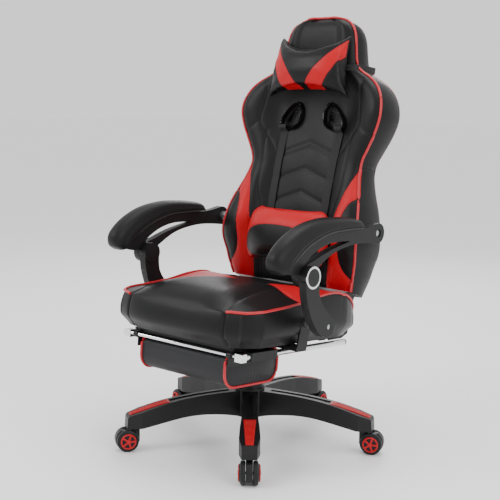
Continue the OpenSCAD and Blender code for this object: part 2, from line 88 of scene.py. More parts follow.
class Wire:
    """A socket of one material's nodes, so that sums on it read as plain arithmetic."""

    def __init__(self, tree, socket=None):
        self.tree = tree
        self.socket = socket

    def node(self, kind, settings, values, out=0):
        """A node of any type: its settings are set first, and then its sockets are set or linked."""
        made = self.tree.nodes.new("ShaderNode" + kind)
        for key, value in settings.items():
            if key == "stops":
                ramp = made.color_ramp
                while len(ramp.elements) < len(value):
                    ramp.elements.new(0.5)
                for element, (place, colour) in zip(ramp.elements, value):
                    element.position = place
                    element.color = colour
            else:
                setattr(made, key, value)
        for key, value in values.items():
            if isinstance(value, Wire):
                self.tree.links.new(value.socket, made.inputs[key])
            else:
                made.inputs[key].default_value = value
        return Wire(self.tree, made.outputs[out])

    def sum_of(self, operation, first, second=0.0):
        return self.node("Math", {"operation": operation}, {0: first, 1: second})

    def __add__(self, other):
        return self.sum_of("ADD", self, other)

    def __sub__(self, other):
        return self.sum_of("SUBTRACT", self, other)

    def __mul__(self, other):
        return self.sum_of("MULTIPLY", self, other)

    __radd__ = __add__
    __rmul__ = __mul__

    def __rsub__(self, other):
        return self.sum_of("SUBTRACT", other, self)

    def clamped(self):
        return self.node("Clamp", {}, {"Value": self})

    def over(self, limit, width):
        """0 below the limit and 1 above it, with a soft edge of that width."""
        return ((self - limit) * (1 / width) + 0.5).clamped()

    def power(self, exponent):
        return self.sum_of("POWER", self, exponent)

    def absolute(self):
        return self.sum_of("ABSOLUTE", self)


def new_finish(name, **constants):
    """A new material with its shader's plain settings, as (material, shader, a wire, object coordinates)."""
    material = bpy.data.materials.new(name)
    material.use_nodes = True
    tree = material.node_tree
    shader = tree.nodes["Principled BSDF"]
    for key, value in constants.items():
        shader.inputs[key.replace("_", " ")].default_value = value
    wire = Wire(tree)
    return material, shader, wire, wire.node("TexCoord", {}, {}, "Object")


def noise_of(wire, place, scale, detail=3.0, roughness=0.5):
    """Soft noise from 0 to 1 at that scale, in turns a metre."""
    return wire.node("TexNoise", {}, {"Vector": place, "Scale": scale, "Detail": detail, "Roughness": roughness})


def blend_colour(wire, factor, first, second):
    return wire.node("Mix", {"data_type": "RGBA"}, {"Factor": factor, 6: first, 7: second}, 2)


def bump(wire, shader, height, strength, distance):
    made = wire.node("Bump", {}, {"Height": height, "Strength": strength, "Distance": distance})
    wire.tree.links.new(made.socket, shader.inputs["Normal"])


def join_to(wire, value, shader, name):
    wire.tree.links.new(value.socket, shader.inputs[name])


floor_finish, shader, wire, place = new_finish("studio_floor", Roughness=0.55)
join_to(wire, blend_colour(wire, noise_of(wire, place, 3.0), (0.96, 0.96, 0.96, 1), (0.98, 0.98, 0.98, 1)), shader, "Base Color")
floor.data.materials.append(floor_finish)


# ---- Moulded and metal parts ----
# The frame's own parts keep their shape. Glass-filled nylon has a fine even texture, powder coat an orange peel,
# chrome is polished, and zinc-plated pins are faintly brushed. Real parts have eased edges, so each gets a small one.
def moulded(name, dark, light, rough, grain, depth):
    """Moulded plastic or powder coat: a fine texture, with a little change of tone and gloss."""
    material, shader, wire, place = new_finish(name, IOR=1.48, Specular_IOR_Level=0.28)
    tone = noise_of(wire, place, 14.0, 4.0)
    fine = noise_of(wire, place, grain, 2.0)
    join_to(wire, blend_colour(wire, tone, dark, light), shader, "Base Color")
    join_to(wire, (rough + (tone - 0.5) * 0.16 + (fine - 0.5) * 0.12).clamped(), shader, "Roughness")
    bump(wire, shader, fine, depth, 0.0004)
    return material


def metal(name, tint, rough, streak):
    """Plated metal: streaks run round or along it as a change of gloss."""
    material, shader, wire, place = new_finish(name, Metallic=1.0)
    squeezed = wire.node("Mapping", {}, {"Vector": place, "Scale": (streak, 12.0, 12.0)})
    lines = noise_of(wire, squeezed, 1.0, 5.0)
    smears = noise_of(wire, place, 22.0, 2.0)
    darker = tuple(c * 0.86 for c in tint[:3]) + (1,)
    join_to(wire, blend_colour(wire, smears, darker, tint), shader, "Base Color")
    join_to(wire, (rough + lines * rough + smears * 0.05).clamped(), shader, "Roughness")
    bump(wire, shader, lines, 0.04, 0.0002)
    return material


nylon = moulded("moulded_nylon", (0.006, 0.006, 0.0065, 1), (0.010, 0.010, 0.011, 1), 0.42, 1400.0, 0.22)
arm_plastic = moulded("arm_plastic", (0.007, 0.007, 0.0075, 1), (0.011, 0.011, 0.012, 1), 0.46, 1100.0, 0.3)
coated_steel = moulded("powder_coat", (0.006, 0.006, 0.0065, 1), (0.009, 0.009, 0.01, 1), 0.38, 500.0, 0.2)
gloss_black = moulded("gloss_trim", (0.004, 0.004, 0.0045, 1), (0.006, 0.006, 0.0065, 1), 0.1, 300.0, 0.02)
tyre = moulded("caster_tyre", (0.006, 0.006, 0.0065, 1), (0.010, 0.010, 0.011, 1), 0.4, 700.0, 0.2)
red_plastic = moulded("red_plastic", (0.40, 0.005, 0.009, 1), (0.48, 0.009, 0.013, 1), 0.3, 900.0, 0.06)
chrome = metal("chrome_plate", (0.88, 0.89, 0.91, 1), 0.06, 160.0)
zinc = metal("zinc_plate", (0.55, 0.56, 0.58, 1), 0.26, 420.0)

plywood, shader, wire, place = new_finish("plywood", Roughness=0.6)
rings = wire.node("Mapping", {}, {"Vector": place, "Scale": (22.0, 3.0, 60.0)})
figure = noise_of(wire, rings, 1.0, 6.0, 0.6)
join_to(wire, blend_colour(wire, figure, (0.012, 0.010, 0.008, 1), (0.028, 0.022, 0.016, 1)), shader, "Base Color")
bump(wire, shader, figure, 0.2, 0.0004)


def dress(material, width, *names):
    """Gives the frame's own parts their finish and an eased edge of that width."""
    for name in names:
        part = nodes[name]
        for slot in part.material_slots:
            slot.material = material
        if width:
            weld = part.modifiers.new("Weld", "WELD")
            weld.merge_threshold = 0.00002
            bevel = part.modifiers.new("Bevel", "BEVEL")
            bevel.width = width
            bevel.segments = 2
            bevel.limit_method = "ANGLE"
            bevel.angle_limit = radians(38)
            bevel.miter_outer = "MITER_ARC"


fork_names = [f"caster_fork_{k}" for k in range(1, 6)]
wheel_names = [f"caster_wheels_{k}" for k in range(1, 6)]
dress(nylon, 0.002, "star_base")
dress(nylon, 0.0012, "column_lower_cover", "column_upper_cover", "guide_bush", "tension_knob", "height_lever",
      "recline_lever", "footrest_end_caps", *fork_names)
dress(arm_plastic, 0.0028, "arm_frame_left", "arm_frame_right", "arm_link_left", "arm_link_right")
dress(arm_plastic, 0.0008, "arm_cap_right", "footrest_guides")
dress(coated_steel, 0.0006, "column_tube", "gas_cylinder", "tilt_housing", "seat_plate", "seat_side_rails",
      "seat_cross_rails", "recline_brackets", "link_brackets", "footrest_crossbar", "footrest_hinges", "back_frame")
dress(chrome, 0.0008, "arm_cap_left", "footrest_tubes", "footrest_corners", "footrest_rod")
dress(zinc, 0.0005, "thrust_bearing", "piston_rod", "tilt_axle", "recline_pins", "recline_shaft", "rear_arm_bolts",
      "link_bolts")
dress(zinc, 0, "tension_spring")
dress(plywood, 0.0006, "seat_board")
dress(tyre, 0.003, *wheel_names)
dress(red_plastic, 0, "base_inserts")

# ---- Seat cushion ----
# Thick moulded foam on a plywood board, under smooth coated leather. The middle panel runs over the front edge,
# the side panels have a red wedge let in, and red piping closes each side from the front corners to the rear.
seat_pivot = Vector((0, -0.038, 0.284))
seat_lean = radians(-4.5)


def leather(name, black_light, red_light, rough, grain_depth):
    """Coated leather: pebble grain, soft creases, red where the piece's own map says so, and stitched seams whose
    grooves are darkened with painted shade.
    """
    material, shader, wire, place = new_finish(name, Specular_IOR_Level=0.22, IOR=1.46)
    red_map = wire.node("Attribute", {"attribute_name": "red"}, {}, "Fac")
    seam_map = wire.node("Attribute", {"attribute_name": "seam"}, {}, "Fac")
    red = red_map.over(0.0, 0.0008)
    broad = noise_of(wire, place, 6.0, 3.0)
    creases = noise_of(wire, place, 42.0, 4.0, 0.6)
    cells = wire.node("TexVoronoi", {"feature": "DISTANCE_TO_EDGE"}, {"Vector": place, "Scale": 620.0}, "Distance")
    pebble = cells.over(0.12, 0.3)
    black = blend_colour(wire, broad, tuple(c * 0.72 for c in black_light[:3]) + (1,), black_light)
    scarlet = blend_colour(wire, broad, tuple(c * 0.86 for c in red_light[:3]) + (1,), red_light)
    base = blend_colour(wire, red, black, scarlet)
    groove_and_painted_shade = 1 - seam_map.over(0.0011, 0.0012)
    dashes = wire.node("VectorMath", {"operation": "DOT_PRODUCT"}, {0: place, 1: (520.0, 610.0, 1250.0)}, "Value")
    dash = wire.node("Math", {"operation": "SINE"}, {0: dashes}).over(-0.4, 0.5)
    stitch = (1 - (seam_map - 0.0042).absolute().over(0.0005, 0.0003)) * dash
    # Painted shade: the colour in each seam groove is darkened towards black, as if shade falls in it.
    base = blend_colour(wire, groove_and_painted_shade * 0.7, base, (0.004, 0.004, 0.004, 1))
    base = blend_colour(wire, stitch * 0.5, base, (0.03, 0.028, 0.028, 1))
    join_to(wire, base, shader, "Base Color")
    join_to(wire, (rough + (broad - 0.5) * 0.12 + (creases - 0.5) * 0.18 + groove_and_painted_shade * 0.25).clamped(), shader, "Roughness")
    bump(wire, shader, pebble * grain_depth + creases * 0.8 + stitch * 0.8 - groove_and_painted_shade * 1.2, 0.35, 0.0006)
    return material


black_leather = (0.0065, 0.0065, 0.007, 1)
red_leather = (0.50, 0.004, 0.010, 1)
smooth_hide = leather("seat_leather", black_leather, red_leather, 0.36, 0.25)
piping_hide, shader, wire, place = new_finish("piping_leather", Roughness=0.38)
join_to(wire, blend_colour(wire, noise_of(wire, place, 60.0), (0.40, 0.004, 0.010, 1), (0.50, 0.008, 0.016, 1)), shader,
        "Base Color")
bump(wire, shader, noise_of(wire, place, 380.0), 0.2, 0.0005)


def ease_in(t):
    t = np.clip(t, 0, 1)
    return t * t * (3 - 2 * t)


def curve_through(points, steps):
    """Points of a smooth curve through the given ones."""
    points = np.array(points, float)
    ends = np.vstack([points[:1], points, points[-1:]])
    turn = np.linspace(0, 1, steps, endpoint=False)[:, None]
    runs = []
    for p, q, r, s in zip(ends, ends[1:], ends[2:], ends[3:]):
        runs.append(0.5 * (2 * q + (r - p) * turn + (2 * p - 5 * q + 4 * r - s) * turn**2
                           + (3 * q - p - 3 * r + s) * turn**3))
    return np.vstack(runs + [points[-1:]])


def spread(points, count, closed=False):
    """The same line, as that many points at even distances."""
    points = np.array(points, float)
    if closed:
        points = np.vstack([points, points[:1]])
    run = np.concatenate([[0], np.cumsum(np.linalg.norm(np.diff(points, axis=0), axis=1))])
    wanted = np.linspace(0, run[-1], count, endpoint=not closed)
    return np.stack([np.interp(wanted, run, column) for column in points.T], 1)


def reading(table, value):
    """Reads a smooth curve of (place, amount) pairs at each value."""
    line = curve_through(table, 8)
    return np.interp(value, line[:, 0], line[:, 1])


def nearness(x, y, lines):
    """Distance from each point to the nearest of the lines."""
    best = np.full(x.shape, 1e3)
    for line in lines:
        for (ax, ay), (bx, by) in zip(line, line[1:]):
            ux, uy = bx - ax, by - ay
            t = np.clip(((x - ax) * ux + (y - ay) * uy) / max(ux * ux + uy * uy, 1e-9), 0, 1)
            best = np.minimum(best, np.hypot(x - ax - t * ux, y - ay - t * uy))
    return best


def depth_inside(x, y, outline):
    """Distance to the outline, counted above zero inside it and below zero outside."""
    ring = list(outline) + [outline[0]]
    inside = np.zeros(x.shape, bool)
    for (ax, ay), (bx, by) in zip(ring, ring[1:]):
        if ay != by:
            inside ^= ((ay > y) != (by > y)) & (x < (bx - ax) * (y - ay) / (by - ay) + ax)
    return np.where(inside, 1, -1) * nearness(x, y, [ring])


def panel_block(name, across, along, deep):
    """A closed block of quads, two units wide and long: a fine grid, its twin below and a wall between."""
    bpy.ops.object.select_all(action="DESELECT")
    bpy.ops.mesh.primitive_grid_add(x_subdivisions=across, y_subdivisions=along, size=2)
    block = bpy.context.object
    block.name = name
    bpy.ops.object.mode_set(mode="EDIT")
    bpy.ops.mesh.select_all(action="SELECT")
    bpy.ops.mesh.extrude_region_move(TRANSFORM_OT_translate={"value": (0, 0, -1)})
    bpy.ops.mesh.select_all(action="DESELECT")
    bpy.ops.object.mode_set(mode="OBJECT")
    if deep:
        points = block.data.vertices
        for edge in block.data.edges:
            edge.select = abs(points[edge.vertices[0]].co.z - points[edge.vertices[1]].co.z) > 0.5
        bpy.ops.object.mode_set(mode="EDIT")
        bpy.ops.mesh.select_mode(type="EDGE")
        bpy.ops.mesh.subdivide(number_cuts=deep)
        bpy.ops.object.mode_set(mode="OBJECT")
    return block


def corners_of(piece):
    flat = np.empty(len(piece.data.vertices) * 3)
    piece.data.vertices.foreach_get("co", flat)
    return flat.reshape(-1, 3).T


def move_corners(piece, x, y, z):
    piece.data.vertices.foreach_set("co", np.stack([x, y, z], 1).ravel())
    piece.data.update()


def face_outwards(piece):
    bpy.ops.object.select_all(action="DESELECT")
    piece.select_set(True)
    bpy.context.view_layer.objects.active = piece
    bpy.ops.object.mode_set(mode="EDIT")
    bpy.ops.mesh.select_all(action="SELECT")
    bpy.ops.mesh.normals_make_consistent(inside=False)
    bpy.ops.object.mode_set(mode="OBJECT")
    bpy.ops.object.shade_smooth_by_angle(angle=radians(50))


def mark(piece, name, amounts):
    """Stores one amount for each corner, for the leather to read."""
    layer = piece.data.attributes.get(name) or piece.data.attributes.new(name, "FLOAT", "POINT")
    layer.data.foreach_set("value", np.asarray(amounts, np.float32))


def set_in_place(piece, pivot, lean):
    """Turns a piece that was drawn upright about its pivot, and leaves its place in its mesh."""
    piece.data.transform(Matrix.Translation(pivot) @ Matrix.Rotation(lean, 4, "X") @ Matrix.Translation(-pivot))
    piece.data.update()


def cord_of(name, path, radius, closed=True, flat=1.0):
    """Round piping along a path, closed in a loop or with closed ends."""
    path = [Vector(p) for p in path]
    bpy.ops.object.select_all(action="DESELECT")
    bpy.ops.mesh.primitive_torus_add(major_segments=len(path), minor_segments=8, major_radius=1, minor_radius=0.1)
    ring = bpy.context.object
    ring.name = name
    corners = ring.data.vertices
    up = Vector((0.0, 0.0, 1.0))
    count = len(path)
    for i, centre in enumerate(path):
        if closed:
            ahead = path[(i + 1) % count] - path[i - 1]
        else:
            ahead = path[min(i + 1, count - 1)] - path[max(i - 1, 0)]
        ahead.normalize()
        side = ahead.cross(up if abs(ahead.z) < 0.9 else Vector((0, 1, 0))).normalized()
        over = side.cross(ahead)
        for k in range(8):
            turn = 2 * pi * k / 8
            corners[i * 8 + k].co = centre + side * cos(turn) * radius + over * sin(turn) * radius * flat
    if not closed:
        bpy.ops.object.mode_set(mode="EDIT")
        bpy.ops.mesh.select_all(action="DESELECT")
        bpy.ops.object.mode_set(mode="OBJECT")
        ends = set(range(8)), set(range((count - 1) * 8, count * 8))
        for face in ring.data.polygons:
            touched = set(face.vertices)
            face.select = bool(touched & ends[0]) and bool(touched & ends[1])
        bpy.ops.object.mode_set(mode="EDIT")
        bpy.ops.mesh.select_mode(type="FACE")
        bpy.ops.mesh.delete(type="FACE")
        bpy.ops.mesh.select_all(action="SELECT")
        bpy.ops.mesh.fill_holes(sides=8)
        bpy.ops.object.mode_set(mode="OBJECT")
    face_outwards(ring)
    ring.data.materials.clear()
    return ring


def plan_half(y):
    return reading([(-312, 192), (-290, 206), (-252, 233), (-200, 240), (60, 240), (122, 234), (166, 216), (190, 190)], y)


def crest_height(y):
    return reading([(-312, 396), (-296, 424), (-262, 447), (-205, 456), (-120, 457), (-20, 452), (70, 447), (130, 432),
                    (168, 410), (192, 372)], y)


def side_height(y):
    return reading([(-312, 408), (-240, 415), (-150, 422), (-79, 431), (-20, 442), (40, 447), (90, 440), (130, 424),
                    (160, 403), (192, 364)], y)


seat_seams = [
    curve_through([(170, -316), (154, -236), (142, -170), (130, -110), (112, -45)], 4),
    curve_through([(246, -92), (195, -80), (145, -62), (100, -38), (48, -8)], 4),
    curve_through([(48, -8), (130, 40), (190, 70), (246, 85)], 4),
    curve_through([(118, 34), (112, 90), (116, 176)], 4)]
seat_wedge = list(seat_seams[1]) + list(seat_seams[2])[1:]


def seat_top(x, y):
    """Height of the seat at a point of its plan, with its padding between the seams."""
    share = np.abs(x) / plan_half(y)
    height = crest_height(y) + (side_height(y) - crest_height(y)) * ease_in((share - 0.3) / 0.7)
    gap = nearness(np.abs(x), y, seat_seams)
    return height - 2.4 * np.exp(-((gap / 5.0) ** 2)) + 1.6 * (1 - np.exp(-gap / 18)) * (1 - share**8)


seat_skin = panel_block("seat_skin", 124, 124, 14)
a, b, c = corners_of(seat_skin)
c = -c
front_edge, rear_edge = -308 + 22 * np.abs(a) ** 5, 190 - 24 * np.abs(a) ** 5
y = front_edge + (rear_edge - front_edge) * (b + 1) / 2
x = a * plan_half(y)
z = seat_top(x, y)
z = z + (322 - z) * c
tuck = 1 - 0.06 * ease_in((c - 0.62) / 0.38)
bulge = np.sin(pi * np.clip(c, 0, 1)) ** 0.8
on_wall = (c > 0.001) & (c < 0.999)
x = x * tuck + np.where(on_wall & (np.abs(a) > 0.999), np.sign(a) * 5.0 * bulge, 0)
y = -60 + (y + 60) * tuck
front_seam = np.exp(-(((np.abs(x) - 168) / 4.0) ** 2))
y = y + np.where(on_wall & (b < -0.999), -9.0 * bulge + 3.5 * front_seam, 0)
y = y + np.where(on_wall & (b > 0.999), 4.0 * bulge, 0)
ripple = np.array([noise.noise(Vector((p * 0.012, q * 0.012, r * 0.02))) for p, q, r in zip(x, y, z)])
z = z + np.where(c < 0.001, ripple * 1.2, 0)
move_corners(seat_skin, x / 1000, y / 1000, z / 1000)
on_top = c < 0.001
mark(seat_skin, "red", np.where(on_top, depth_inside(np.abs(x), y, seat_wedge) / 1000, -0.01))
front_gap = np.where(b < -0.999, np.abs(np.abs(x) - 168), 40)
mark(seat_skin, "seam", np.where(on_top, np.minimum(nearness(np.abs(x), y, seat_seams), 40), front_gap) / 1000)
seat_skin.data.materials.append(smooth_hide)
face_outwards(seat_skin)
set_in_place(seat_skin, seat_pivot, seat_lean)
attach(seat_skin, "seat")
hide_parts("seat_cushion")

for side, word in ((1, "left"), (-1, "right")):
    front_run = [(x, -308 + 22 * (x / 200) ** 5, 0) for x in (170, 182, 192, 200)]
    side_run = [(plan_half(y), y, 0) for y in list(range(-276, 160, 12)) + [164, 172, 178]]
    line = []
    for x, y, _ in front_run + side_run:
        line.append((side * (x + 1.5), y - (3 if y < -270 else 0), float(seat_top(np.array([x]), np.array([y]))[0]) + 0.5))
    line = spread(curve_through(line, 3), 90)
    seat_piping = cord_of(f"seat_piping_{word}", line / 1000, 0.0036, closed=False)
    seat_piping.data.materials.append(piping_hide)
    set_in_place(seat_piping, seat_pivot, seat_lean)
    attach(seat_piping, "seat")

# ---- Backrest ----
# Foam over a steel loop, cut and sewn in smooth leather: a chevron-quilted middle between two webbing straps, padded
# wings with red inserts, boxed sides and red piping round both edges. Drawn upright with its hinge at the origin.
back_pivot = Vector((0, 0.246, 0.458))
back_lean = radians(-12)


def lean_back(piece):
    """Sets a piece that was drawn upright, with the hinge at the origin, at the backrest's place and lean."""
    piece.data.transform(Matrix.Translation(back_pivot) @ Matrix.Rotation(back_lean, 4, "X"))
    piece.data.update()


def back_half(z):
    return reading([(-66, 206), (-40, 214), (-10, 224), (18, 230), (48, 237), (82, 240), (117, 236), (148, 231), (183, 222), (214, 211),
                    (245, 201), (277, 194), (308, 196), (340, 210), (370, 225), (402, 238), (436, 246), (471, 242),
                    (502, 227), (526, 205), (545, 176), (562, 146), (583, 130), (632, 121), (655, 117), (676, 109),
                    (692, 96), (704, 74), (711, 40)], z)


def edge_front(z):
    return reading([(-66, -76), (-48, -80), (-30, -88), (18, -104), (60, -122), (100, -127), (148, -123), (200, -111), (245, -99), (290, -92),
                    (340, -95), (400, -106), (450, -112), (502, -105), (548, -92), (590, -92), (653, -96),
                    (690, -96), (711, -84)], z)


def middle_front(z):
    return reading([(-66, -62), (-48, -66), (-30, -71), (40, -82), (150, -84), (250, -80), (325, -75), (388, -68), (430, -66), (480, -70),
                    (545, -82), (610, -94), (660, -100), (692, -98), (711, -84)], z)


def back_rear(z):
    return reading([(-66, -38), (-30, -36), (12, -22), (40, 6), (100, 7), (240, 0), (440, 1), (528, -4), (600, -16), (653, -24),
                    (690, -34), (711, -48)], z)


def rear_face(x, z):
    """Depth of the backrest's rear. The wings reach back past the recline brackets, and their edges are rounded."""
    share = np.abs(x) / back_half(z)
    rear = back_rear(z) - 9 * np.clip((share - 0.86) / 0.14, 0, 1) ** 2 + 3 * np.clip((share - 0.3) / 0.7, 0, 1)
    return rear + (6 - back_rear(z)) * ease_in((np.abs(x) - 195) / 11) * (z < 40)


chevrons = [[(0, top), (84, top - 31), (93, top - 33)] for top in (358, 349, 281, 213, 145, 77)]
back_seams = chevrons + [
    curve_through([(112, 386), (111, 250), (110, 120), (107, -60)], 3),
    curve_through([(153, 384), (150, 279), (145, 209), (131, 160), (122, 60), (117, -60)], 4),
    curve_through([(178, 552), (166, 510), (171, 467), (178, 412), (155, 376), (118, 328)], 4),
    curve_through([(178, 412), (200, 392), (229, 372)], 3),
    curve_through([(0, 552), (70, 556), (120, 574), (134, 590)], 3)]
wing_insert = list(curve_through([(198, 303), (184, 255), (171, 218), (155, 153), (144, 90), (136, 36), (132, -68)], 4))
wing_insert += list(curve_through([(232, -68), (222, -24), (198, 4), (186, 30), (182, 60), (184, 110), (188, 154),
                                   (198, 186), (216, 209), (208, 240), (198, 303)], 4))
back_seams += [[tuple(p) for p in wing_insert]]


def front_face(x, z):
    """Depth of the backrest's front, with a padded panel between each pair of seams."""
    share = np.abs(x) / back_half(z)
    low, high = middle_front(z), edge_front(z)
    shoulder = 0.56 - 0.2 * np.exp(-(((z - 130) / 60) ** 2))
    depth = low + (high - low) * ease_in((share - 0.42) / shoulder) - 7 * np.sin(pi * np.clip((share - 0.5) / 0.5, 0, 1)) ** 2
    depth = depth + 9 * np.clip((share - 0.9) / 0.1, 0, 1) ** 2
    gap = nearness(np.abs(x), z, back_seams)
    puff = 2.0 * (1 - np.exp(-gap / 16)) * (1 - np.clip(share, 0, 1) ** 10)
    return depth + 1.7 * np.exp(-((gap / 4.0) ** 2)) - puff


def rounded(points, rounds=3):
    """A closed outline with its corners cut round."""
    points = np.array(points, float)
    for _ in range(rounds):
        following = np.roll(points, -1, axis=0)
        points = np.stack([points * 0.75 + following * 0.25, points * 0.25 + following * 0.75], 1).reshape(-1, 2)
    return points


harness_hole = spread(rounded([(52, 396), (123, 400), (68, 471), (42, 448)]), 64, closed=True)
hole_middle = harness_hole.mean(axis=0)

back_skin = panel_block("back_skin", 128, 178, 12)
a, b, c = corners_of(back_skin)
c = -c
hem = -50 - 13 * c
z = hem + (711 - hem) * (b + 1) / 2
x = a * back_half(z)
share = np.abs(a)
front = front_face(x, z)
rear = rear_face(x, z) - 2.5 * np.exp(-((np.abs(np.abs(x) - 0.62 * back_half(z)) / 4) ** 2))
y = front + (rear - front) * c
on_wall = (c > 0.001) & (c < 0.999)
bulge = np.sin(pi * np.clip(c, 0, 1)) ** 0.8
waist_seam = np.exp(-(((z - 292) / 4.0) ** 2))
x = x + np.where(on_wall & (share > 0.999), np.sign(a) * (6.5 * bulge - 3.0 * waist_seam), 0)
z = z + np.where(on_wall & (b > 0.999), 4 * bulge, 0)
ripple = np.array([noise.noise(Vector((p * 0.016, q * 0.016, r * 0.011))) for p, q, r in zip(x, y, z)])
y = y + np.where(c < 0.001, ripple * 1.6, 0)
move_corners(back_skin, x / 1000, y / 1000, z / 1000)
face_outwards(back_skin)

for side in (1, -1):
    bpy.ops.object.select_all(action="DESELECT")
    bpy.ops.mesh.primitive_cylinder_add(vertices=64, radius=1, depth=2)
    punch = bpy.context.object
    corners = punch.data.vertices
    for corner in corners:
        turn = int(round(np.arctan2(corner.co.y, corner.co.x) / (2 * pi) * 64)) % 64
        px, pz = harness_hole[turn]
        corner.co = (side * px / 1000, 0.1 if corner.co.z > 0 else -0.16, pz / 1000)
    face_outwards(punch)
    cut = back_skin.modifiers.new("Hole", "BOOLEAN")
    cut.operation = "DIFFERENCE"
    cut.solver = "EXACT"
    cut.object = punch
    bpy.ops.object.select_all(action="DESELECT")
    back_skin.select_set(True)
    bpy.context.view_layer.objects.active = back_skin
    bpy.ops.object.modifier_apply(modifier="Hole")
    bpy.data.objects.remove(punch)

x, y, z = corners_of(back_skin) * 1000
forward = y < (front_face(x, z) + back_rear(z)) / 2 - 8
near_front = y < front_face(x, z) + 8
red = depth_inside(np.abs(x), z, wing_insert)
mark(back_skin, "red", np.where(near_front, red, -10) / 1000)
side_gap = np.where(np.abs(x) > back_half(z) - 2, np.abs(z - 292), 40)
rear_gap = np.abs(np.abs(x) - 0.62 * back_half(z))
gap = np.where(near_front, nearness(np.abs(x), z, back_seams), np.where(y > back_rear(z) - 14, rear_gap, side_gap))
mark(back_skin, "seam", np.minimum(gap, 40) / 1000)
back_skin.data.materials.append(leather("back_leather", black_leather, red_leather, 0.40, 0.4))
lean_back(back_skin)
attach(back_skin, "back")
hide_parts("back_cushion")

outline = [(back_half(z), z) for z in np.linspace(-48, 706, 150)]
outline = [(float(x), float(z)) for x, z in outline] + [(20.0, 711.0)]
around = outline + [(-x, z) for x, z in reversed(outline)]
for word, depth_at, out in (("front", lambda x, z: front_face(x, z) - 1, 1.5), ("rear", rear_face, -4.0)):
    line = []
    for x, z in spread(around, 250):
        grown = x + out * np.sign(x)
        line.append((grown, float(np.ravel(depth_at(np.array([x]), np.array([z])))[0]), z + (out if z > 700 else 0)))
    back_piping = cord_of(f"back_piping_{word}", np.array(line) / 1000, 0.0036, closed=False)
    back_piping.data.materials.append(piping_hide)
    lean_back(back_piping)
    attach(back_piping, "back")

# ---- Harness grommets and webbing ----
# Each way through the backrest is lined by a glossy moulded grommet with a rolled lip at both ends. Flat black webbing
# comes out over its lower edge and runs down to the lumbar pillow.
webbing, shader, wire, place = new_finish("webbing", Roughness=0.8)
wave_x = wire.node("TexWave", {"wave_type": "BANDS", "bands_direction": "X"}, {"Vector": place, "Scale": 180.0})
wave_z = wire.node("TexWave", {"wave_type": "BANDS", "bands_direction": "Z"}, {"Vector": place, "Scale": 140.0})
weave = wave_x * wave_z
join_to(wire, blend_colour(wire, weave, (0.006, 0.006, 0.006, 1), (0.022, 0.022, 0.024, 1)), shader, "Base Color")
bump(wire, shader, weave, 0.6, 0.0006)

lip = [(1.0, -0.056), (1.0, 0.004), (1.05, 0.0085), (1.17, 0.010), (1.24, 0.007), (1.24, 0.001), (1.09, 0.0),
       (1.03, -0.01), (1.03, -0.05), (1.1, -0.062), (1.26, -0.066), (1.29, -0.072), (1.26, -0.080), (1.17, -0.0845),
       (1.07, -0.081), (1.01, -0.072)]
for side, word in ((1, "left"), (-1, "right")):
    bpy.ops.object.select_all(action="DESELECT")
    bpy.ops.mesh.primitive_torus_add(major_segments=64, minor_segments=len(lip), major_radius=1, minor_radius=0.2)
    grommet = bpy.context.object
    grommet.name = f"harness_grommet_{word}"
    for i, (px, pz) in enumerate(harness_hole):
        for k, (scale, depth) in enumerate(lip):
            gx = hole_middle[0] + (px - hole_middle[0]) * scale
            gz = hole_middle[1] + (pz - hole_middle[1]) * scale
            grommet.data.vertices[i * len(lip) + k].co = (side * gx / 1000, depth, gz / 1000)
    face_outwards(grommet)
    grommet.data.materials.clear()
    grommet.data.materials.append(gloss_black)
    lean_back(grommet)
    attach(grommet, "back")
    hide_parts("harness_trims")

    strap = panel_block(f"lumbar_strap_{word}", 6, 90, 0)
    a, b, c = corners_of(strap)
    run = [(-0.066 * 1000, 401), (-84, 403.5), (-88, 399), (-86, 391)]
    heights = np.linspace(384, 26, 30)
    run += [(float(front_face(np.array([97.0]), np.array([h]))[0]) - 3.2, h) for h in heights]
    run = spread(curve_through(run, 3), 90)
    step = np.clip(np.round((b + 1) / 2 * 89).astype(int), 0, 89)
    along = np.gradient(run, axis=0)
    along /= np.linalg.norm(along, axis=1)[:, None]
    drift = np.interp(run[:, 1], [26, 388], [95, 99])
    x = side * (drift[step] + a * 12.5)
    y = run[step, 0] + (-c) * along[step, 1] * 1.7 * -1 + 0.4 * a**2
    z = run[step, 1] + (-c) * along[step, 0] * 1.7
    move_corners(strap, x / 1000, y / 1000, z / 1000)
    face_outwards(strap)
    strap.data.materials.append(webbing)
    lean_back(strap)
    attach(strap, "back")
    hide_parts("lumbar_straps")

# ---- Lumbar pillow ----
# A stuffed leather bag, red with a black middle panel let into its front. It hangs on the two straps.
def settle(piece, cap, voxel=0.005, pressure=4.0):
    """Blows the piece up as cloth under pressure, and caps how far each point moves. Its own maps are made after."""
    bpy.ops.object.select_all(action="DESELECT")
    piece.select_set(True)
    bpy.context.view_layer.objects.active = piece
    remesh = piece.modifiers.new("Remesh", "REMESH")
    remesh.mode = "VOXEL"
    remesh.voxel_size = voxel
    bpy.ops.object.modifier_apply(modifier="Remesh")
    before = corners_of(piece)
    cloth = piece.modifiers.new("Cloth", "CLOTH")
    cloth.settings.quality = 5
    cloth.settings.use_pressure = True
    cloth.settings.uniform_pressure_force = pressure
    cloth.settings.effector_weights.gravity = 0
    cloth.settings.tension_stiffness = 12
    cloth.settings.bending_stiffness = 0.4
    cloth.collision_settings.use_self_collision = False
    cloth.point_cache.frame_start = 1
    cloth.point_cache.frame_end = 20
    scene = bpy.context.scene
    for frame_number in range(1, 21):
        scene.frame_set(frame_number)
    bpy.ops.object.modifier_apply(modifier="Cloth")
    scene.frame_set(1)
    after = corners_of(piece)
    shift = after - before
    length = np.maximum(np.linalg.norm(shift, axis=0), 1e-9)
    x, y, z = before + shift * np.minimum(1, cap / length)
    move_corners(piece, x, y, z)
    finer = piece.modifiers.new("Subdivision", "SUBSURF")
    finer.levels = finer.render_levels = 1
    bpy.ops.object.modifier_apply(modifier="Subdivision")


bag_hide = leather("pillow_leather", black_leather, red_leather, 0.36, 0.4)


